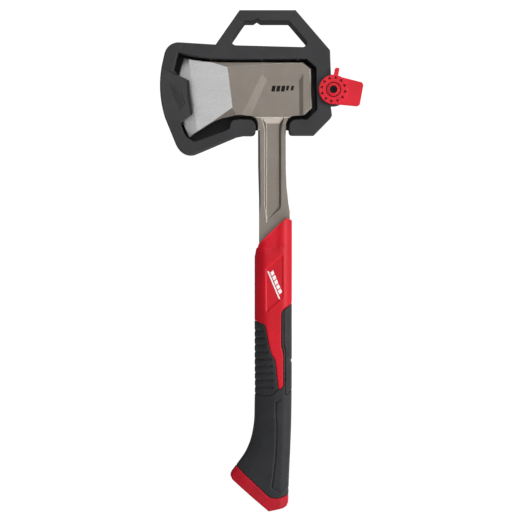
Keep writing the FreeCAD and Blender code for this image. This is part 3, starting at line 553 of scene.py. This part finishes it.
def grip_row(height):
    """The row's sizes at any height, on a smooth curve through the rows."""
    rows = np.array(GRIP_ROWS)
    index = int(np.clip(np.searchsorted(-rows[:, 0], -height) - 1, 0, len(rows) - 2))
    slopes = np.gradient(rows[:, 1:], rows[:, 0], axis=0)
    low, high = rows[index], rows[index + 1]
    span = high[0] - low[0]
    part = (height - low[0]) / span
    ease = part * part * (3 - 2 * part)
    start = low[1:] + (high[1:] - low[1:]) * ease
    bend_low = part * (1 - part) ** 2 * span * slopes[index]
    bend_high = part * part * (part - 1) * span * slopes[index + 1]
    return start + bend_low + bend_high


def section(height, inset=0.0):
    """One rounded ten-sided section, as (x, y) points."""
    left, ridge, fall, right, half = grip_row(height)
    left, right, half = left + inset, right - inset, half - inset
    ridge, fall = max(ridge, left + RIDGE_ROOM), min(fall, right - RIDGE_ROOM)
    hip = left + HIP_ALONG * (ridge - left)
    front = [(left, -SIDE_LEFT * half, CORNER_SIDE), (hip, -HIP_OUT * half, CORNER_SIDE),
             (ridge, -half, CORNER_RIDGE), (fall, -half, CORNER_RIDGE),
             (right, -SIDE_RIGHT * half, CORNER_SIDE)]
    corners = front + [(x, -y, reach) for x, y, reach in reversed(front)]
    points = []
    for index, (x, y, reach) in enumerate(corners):
        here = Vector((x, y))
        before = Vector(corners[index - 1][:2]) - here
        after = Vector(corners[(index + 1) % len(corners)][:2]) - here
        start = here + before.normalized() * min(reach, before.length * CORNER_SHARE)
        end = here + after.normalized() * min(reach, after.length * CORNER_SHARE)
        for number in range(CORNER_SAMPLES):
            part = number / (CORNER_SAMPLES - 1)
            spot = start.lerp(here, part).lerp(here.lerp(end, part), part)
            points.append((spot.x, spot.y))
    return points


def grip_solid(name, top, foot, inset=0.0):
    """A closed solid through the sections from the top down to the foot."""
    count = round((top - foot) / ROW_SPACING)
    points, faces = [], []
    for level in range(count + 1):
        height = top + (foot - top) * level / count
        ring = section(height, inset)
        points.extend((x, y, height) for x, y in ring)
    size = len(ring)
    for level in range(count):
        for index in range(size):
            after = (index + 1) % size
            low, high = level * size, (level + 1) * size
            faces.append([low + index, low + after, high + after, high + index])
    faces.append(list(range(size)))
    faces.append(list(range(count * size, (count + 1) * size)))
    return new_piece(name, points, faces)


# Side-view outlines. Neighbouring pieces share an edge, and each is drawn in by the gap.
# Points at x = -60 and 60 are clear of the grip on either side.
GAP = 0.14
ENDS = [
    (-13.4, -198.4), (8.4, -177.7), (9.6, -176.6), (11.2, -176.1), (15.6, -177.2),
    (17.2, -178.2), (40, -179), (40, -427), (13.0, -427), (12.6, -430.3),
    (11.2, -433.4), (8.1, -434.9), (0, -436.7), (-4.9, -437.7), (-17.1, -427.6),
    (-30.6, -416.0), (-37.6, -410.0), (-39.3, -406.2), (-38.2, -402.5), (-34.7, -398.5),
    (-60, -385), (-60, -214), (-17.2, -209.6), (-16.2, -204), (-14.6, -200.6),
]
PAD_EDGE = [
    (-60, -267.4), (-17.3, -267.4), (-14.4, -269.1), (-9.9, -270.5), (-8.0, -272.2),
    (-7.6, -273.9), (-5.0, -287.5), (-3.6, -294.0), (-2.6, -297.2), (-0.9, -300.0),
    (0.8, -303.0), (1.5, -307.5), (2.2, -315.4), (3.6, -326.0), (3.9, -328.4),
]
PAD_FOOT = [
    (3.9, -328.4), (2.2, -330.1), (-0.2, -332.4), (-3.0, -334.0), (-6.4, -335.0),
    (-10.8, -334.6), (-17.3, -333.0), (-60, -333.0),
]
STRAP_EDGE = [
    (60, -251.8), (16.0, -251.8), (13.3, -254.5), (8.8, -257.2), (6.8, -260.0),
    (6.4, -262.0), (6.4, -291.0), (7.7, -294.8), (8.2, -299.0), (8.2, -325.6),
    (6.6, -328.0), (5.4, -328.9), (3.9, -328.4),
]
STRAP_OUTLINE = [
    (60, -251.8), (16.0, -251.8), (13.3, -254.5), (9.6, -257.4), (8.8, -259.8),
    (8.7, -289.5), (9.9, -293.6), (10.2, -298.0), (10.0, -333.0), (10.4, -334.4),
    (15.9, -329.8), (60, -329.8),
]
CAP_EDGE = [
    (-60, -377.5), (-34.0, -397.6), (-26.0, -405.4), (-19.6, -411.0), (-12.4, -417.4),
    (-7.2, -422.6), (-3.6, -425.2), (0.1, -426.0), (4.5, -425.6), (12.8, -423.4), (60, -410),
]

# What is pressed into the skin: depths in millimetres, and widths or edges after them.
PANEL_DEPTH, PANEL_WALL = 1.1, 0.6
PANEL = [(-7.7, -221.4), (7.9, -208.0), (8.4, -246.4), (-7.2, -260.7)]
COLLAR = [(-20, -197.2), (-13, -203.0), (-9.6, -204.6), (-6.2, -205.6), (-2.0, -205.8),
          (2.6, -204.4), (8.0, -200.8)]
COLLAR_DEPTH, COLLAR_SLOPE = 1.3, 2.4
COLLAR_FADE_FROM, COLLAR_FADE = 1, 9
COLLAR_CREASE_WIDTH, COLLAR_CREASE = 1.6, 0.6
SEAM_DEPTH, SEAM_WIDTH = 0.3, 0.35
RIB_FIRST, RIB_PITCH, RIB_COUNT = -276.8, -6.3, 10
RIB_SIDE_DEPTH, RIB_FRONT_DEPTH, RIB_VALLEY, RIB_FADE = 0.5, 0.9, 0.9, 1.2
RIB_EDGE = [(-7.6, -262), (-9.6, -276), (-7.2, -290), (-4.6, -296), (-2.0, -302),
            (-1.0, -312), (-0.2, -328), (-4.5, -332)]
STRAP_CREASE = [(11.9, -297.3), (15.8, -303.2), (20, -309.5)]
STRAP_CREASE_WIDTH, STRAP_CREASE_DEPTH = 1.4, 0.8
SLEEVE_CREASES = [
    [(1.4, -341), (1.4, -352), (2.0, -362), (1.6, -378), (0.8, -392), (-0.6, -405),
     (-2.2, -416.8), (4.6, -420.4), (12.4, -418.2), (20, -416)],
    [(1.4, -341), (5.2, -338.6)],
]
SLEEVE_CREASE_WIDTH, SLEEVE_CREASE_DEPTH = 1.2, 1.1


def outline_depth(outline, place):
    """Signed distance inside any simple outline."""
    closed = outline + outline[:1]
    within = np.zeros(len(place), bool)
    for (x1, z1), (x2, z2) in zip(closed, closed[1:]):
        if z1 == z2:
            continue
        crosses = (z1 > place[:, 1]) != (z2 > place[:, 1])
        at = (x2 - x1) * (place[:, 1] - z1) / (z2 - z1) + x1
        within ^= crosses & (place[:, 0] < at)
    gap = distance_to(closed, place)
    return np.where(within, gap, -gap)


def ribs(spots, ways):
    """Finger ribs across the front pad: rounded bars with narrow valleys between."""
    place = spots[:, (0, 2)]
    zone = [(-60, -262)] + RIB_EDGE + [(-12, -333), (-60, -333)]
    fade = step(outline_depth(zone, place) / RIB_FADE)
    phase = (place[:, 1] - RIB_FIRST) / RIB_PITCH
    valley = np.abs(phase - np.round(phase)) * abs(RIB_PITCH)
    counted = (np.round(phase) >= 0) & (np.round(phase) < RIB_COUNT)
    deep = RIB_SIDE_DEPTH + RIB_FRONT_DEPTH * np.abs(ways[:, 1])
    return deep * fade * counted * np.exp(-(valley / RIB_VALLEY) ** 2)


def centre_seam(spots, _):
    """The joint line of the core's two halves, round the narrow sides."""
    return SEAM_DEPTH * np.exp(-(spots[:, 1] / SEAM_WIDTH) ** 2)


def collar_step(spots, ways):
    """The collar above the swept line lies a little lower than the skin below it."""
    line = np.array(COLLAR)
    edge = np.interp(spots[:, 0], line[:, 0], line[:, 1])
    above = step((spots[:, 2] - edge) / COLLAR_SLOPE)
    fade = 1 - step((spots[:, 0] - COLLAR_FADE_FROM) / COLLAR_FADE)
    return COLLAR_DEPTH * above * fade * np.clip(np.abs(ways[:, 1]), 0, 1)


def shrunk(outline, gap=GAP):
    """A closed outline with every side moved inwards by the gap."""
    count = len(outline)
    area = sum(a[0] * b[1] - b[0] * a[1] for a, b in zip(outline, outline[1:] + outline[:1]))
    turn = 1 if area > 0 else -1
    points = []
    for index in range(count):
        here = Vector(outline[index])
        before = (here - Vector(outline[index - 1])).normalized()
        after = (Vector(outline[(index + 1) % count]) - here).normalized()
        way = Vector((-before.y - after.y, before.x + after.x)) * turn
        points.append(tuple(here + way * gap / max(0.5, way.length_squared / 2)))
    return points


def grip_piece(name, whole, outline, core=None):
    """The part of the grip inside an outline, joined to the core below it if given."""
    keep = prism(f"{name}_keep", shrunk(outline))
    item = combined(name, "INTERSECT", whole, keep)
    spent = [keep]
    if core:
        spent.append(item)
        item = combined(name, "UNION", item, core)
    drop(*spent)
    item.name = name
    remould(item)
    return item


def shape_grip():
    """The visible grip pieces, cut from one solid along their shared outlines."""
    ends = prism("ends", ENDS)
    skin = grip_solid("skin", SKIN_TOP, SKIN_FOOT)
    whole = combined("whole", "INTERSECT", skin, ends)
    hidden = grip_solid("hidden", INNER_TOP, INNER_FOOT, INNER_INSET)
    limits = prism("limits", shrunk(ENDS, INNER_GAP))
    inner = combined("inner", "INTERSECT", hidden, limits)
    red = [(-60, -267.4)] + PAD_EDGE[1:] + STRAP_EDGE[:0:-1][1:] + [
        (60, -251.8), (60, -150), (-60, -150)]
    pad = PAD_EDGE + PAD_FOOT[1:]
    sleeve = ([(-60, -333.0)] + PAD_FOOT[-2::-1] + STRAP_EDGE[-2:2:-1] + STRAP_OUTLINE[3:]
              + CAP_EDGE[::-1])
    cap = CAP_EDGE + [(60, -460), (-60, -460)]
    pieces = {
        "grip_core": grip_piece("grip_core", whole, red, inner),
        "grip_front_pad": grip_piece("grip_front_pad", whole, pad),
        "grip_rear_strap": grip_piece("grip_rear_strap", whole, STRAP_OUTLINE),
        "grip_sleeve": grip_piece("grip_sleeve", whole, sleeve),
        "grip_butt_cap": grip_piece("grip_butt_cap", whole, cap),
    }
    drop(ends, skin, whole, hidden, limits, inner)
    return pieces


# Each grip piece's slot, and the CAD nodes that it replaces.
GRIP_NODES = {
    "grip_core": ("core_red", "grip_core_front", "grip_core_back"),
    "grip_front_pad": ("soft_grip", "front_grip_pad"),
    "grip_rear_strap": ("soft_grip", "rear_grip_strap"),
    "grip_sleeve": ("soft_grip", "lower_grip_sleeve"),
    "grip_butt_cap": ("cap_red", "butt_cap"),
}


def make_grip(finishes):
    pieces = shape_grip()
    dent(pieces["grip_core"], panel(PANEL, PANEL_DEPTH, PANEL_WALL), centre_seam, collar_step,
         crease(COLLAR, COLLAR_CREASE_WIDTH, COLLAR_CREASE))
    dent(pieces["grip_front_pad"], ribs)
    dent(pieces["grip_rear_strap"],
         crease(STRAP_CREASE, STRAP_CREASE_WIDTH, STRAP_CREASE_DEPTH))
    dent(pieces["grip_sleeve"],
         *[crease(path, SLEEVE_CREASE_WIDTH, SLEEVE_CREASE_DEPTH) for path in SLEEVE_CREASES])
    for name, (slot, *cad) in GRIP_NODES.items():
        dress(pieces[name], "hatchet", slot, finishes[slot], *cad)


def dress(item, body, slot, finish, *cad):
    """Give a piece its finish, its body and the CAD nodes it stands for. The slot is not
    used.
    """
    item.data.materials.clear()
    item.data.materials.append(finish)
    if cad:
        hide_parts(*cad)
    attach(item, body)


# ------------------------------------------------------------------ marks

def thin_plates(name, outlines, face, lift, root):
    """Small flat plates on a surface whose y is face(x, z), rooted below it and lifted
    a little proud of it."""
    points, faces = [], []
    for outline in outlines:
        first, count = len(points), len(outline)
        points.extend((x, face(x, z) - lift, z) for x, z in outline)
        points.extend((x, face(x, z) + root, z) for x, z in outline)
        faces.append(list(range(first, first + count)))
        faces.append(list(range(first + 2 * count - 1, first + count - 1, -1)))
        for index in range(count):
            here, after = first + index, first + (index + 1) % count
            faces.append([here, here + count, after + count, after])
    return new_piece(name, points, faces)


def slanted_bar(start, way, along, length, aside, width, slant=0.0):
    """A bar beside a slanted line, as an outline of four points."""
    ahead = Vector(way).normalized()
    across = Vector((-ahead.y, ahead.x))
    corners = ((along, aside), (along + length, aside),
               (along + length + slant, aside + width), (along + slant, aside + width))
    return [tuple(Vector(start) + ahead * u + across * v) for u, v in corners]


def mirrored(item):
    """A copy at the back, mirrored in the mid-plane."""
    copy = bpy.data.objects.new(f"{item.name}_back", item.data.copy())
    for point in copy.data.vertices:
        point.co.y = -point.co.y
    copy.data.flip_normals()
    bpy.context.collection.objects.link(copy)
    return copy


# One long stripe on the grip's panel, and a row of dashes beside it.
STRIPE_START, STRIPE_WAY = (-6.3, -223.2), (10.4, -25.0)
STRIPE_LENGTH, STRIPE_WIDTH, STRIPE_SLANT = 27, 1.3, 1.0
STRIPE_LIFT, STRIPE_ROOT = 0.1, 0.4
DASH_FIRST, DASH_PITCH, DASH_COUNT = 2.4, 4.4, 5
DASH_LENGTH, DASH_ASIDE, DASH_WIDTH, DASH_SLANT = 3.5, 2.1, 3.1, -1.0
# Leaning bars etched in the head's recess: the width and the foot of each.
PIP_SIZES = [(3.2, -62.8), (3.2, -62.8), (3.2, -62.8), (2.4, -61.8), (2.4, -61.8)]
PIP_FIRST, PIP_PITCH, PIP_TOP, PIP_LEAN = -2.6, 4.3, -57.6, 1.0
PIP_LIFT, PIP_ROOT = 0.06, 0.3
RECESS_FLOOR = -10.0
# Raised bars on the sheath's lip, each shorter than the last.
LIP_START, LIP_WAY = (-92.5, -56.0), (9.8, -25.0)
LIP_BAR_COUNT, LIP_BAR_LAG, LIP_BAR_ASIDE = 4, 4, 1.9
LIP_BAR_LENGTH, LIP_BAR_LOSS, LIP_BAR_WIDTH, LIP_BAR_HEIGHT = 25, 5, 0.8, 0.6
LIP_EDGE, LIP_LEVEL = -101, -14.0
LIP_SLOPE_RISE, LIP_SLOPE_RUN = 3.4, 30.5


def panel_floor(_, z):
    return -(grip_row(z)[4] - PANEL_DEPTH)


def recess_floor(*_):
    return RECESS_FLOOR


def lip_face(x, _):
    """The sloping front of the sheath's lip."""
    return LIP_LEVEL + (x - LIP_EDGE) * LIP_SLOPE_RISE / LIP_SLOPE_RUN


def add_panel_stripes(finishes):
    """White stripes in place of the grip's print, on both faces."""
    stripes = [slanted_bar(
        STRIPE_START, STRIPE_WAY, 0, STRIPE_LENGTH, 0, STRIPE_WIDTH, STRIPE_SLANT)]
    for number in range(DASH_COUNT):
        stripes.append(slanted_bar(
            STRIPE_START, STRIPE_WAY, DASH_FIRST + number * DASH_PITCH, DASH_LENGTH,
            DASH_ASIDE, DASH_WIDTH, DASH_SLANT))
    front = thin_plates("panel_stripes", stripes, panel_floor, STRIPE_LIFT, STRIPE_ROOT)
    for item in (front, mirrored(front)):
        dress(item, "hatchet", "core_red", finishes["white_print"])


def add_etched_pips(finishes):
    """Dark bars in place of the head's etched print."""
    pips = []
    for number, (width, foot) in enumerate(PIP_SIZES):
        left = PIP_FIRST + number * PIP_PITCH
        right = left + width
        pips.append([(left, foot), (right, foot), (right + PIP_LEAN, PIP_TOP),
                     (left + PIP_LEAN, PIP_TOP)])
    etched = thin_plates("etched_pips", pips, recess_floor, PIP_LIFT, PIP_ROOT)
    dress(etched, "hatchet", "forged_steel", finishes["etched_mark"])


def add_lip_bars(finishes):
    """Raised bars in place of the mark moulded in the lip."""
    bars = [slanted_bar(LIP_START, LIP_WAY, LIP_BAR_LAG * number,
                        LIP_BAR_LENGTH - LIP_BAR_LOSS * number, LIP_BAR_ASIDE * number,
                        LIP_BAR_WIDTH)
            for number in range(LIP_BAR_COUNT)]
    raised = thin_plates("lip_bars", bars, lip_face, LIP_BAR_HEIGHT, LIP_BAR_HEIGHT)
    dress(raised, "sheath", "frame_nylon", finishes["frame_nylon"])


# ------------------------------------------------------------------ CAD finishes and floor

def paint_cad(finishes):
    """Every carried-over CAD node takes the finish of its own slot."""
    for entry in frame["record"]["subparts"]:
        item = frame["nodes"][entry["node"]]
        finish = finishes[entry["material_slot"]]
        if not item.material_slots:
            item.data.materials.append(finish)
        for place in item.material_slots:
            place.material = finish


FLOOR_LEVEL = -550
FLOOR_CENTRE = (0, -620)
FLOOR_RADIUS = 1240
FLOOR_SIDES = 96


def add_floor():
    """A plain pale disc, well below the object."""
    points = []
    for index in range(FLOOR_SIDES):
        turn = 2 * math.pi * index / FLOOR_SIDES
        points.append((FLOOR_CENTRE[0] + FLOOR_RADIUS * math.cos(turn),
                       FLOOR_CENTRE[1] + FLOOR_RADIUS * math.sin(turn), FLOOR_LEVEL))
    item = new_piece("floor", points, [list(range(FLOOR_SIDES))])
    finish = Finish("floor_finish")
    finish.colour(finish.blend(finish.noise(60, 2), grey(0.86), grey(0.89)))
    finish.rough(finish.spread(finish.noise(4, 2), 0.3, 0.7, 0.6, 0.7))
    item.data.materials.append(finish.material)
    return item


add_camera()
add_lights(add_floor())
add_sky()
FINISHES = make_finishes()
paint_cad(FINISHES)
make_grip(FINISHES)
add_panel_stripes(FINISHES)
add_etched_pips(FINISHES)
add_lip_bars(FINISHES)
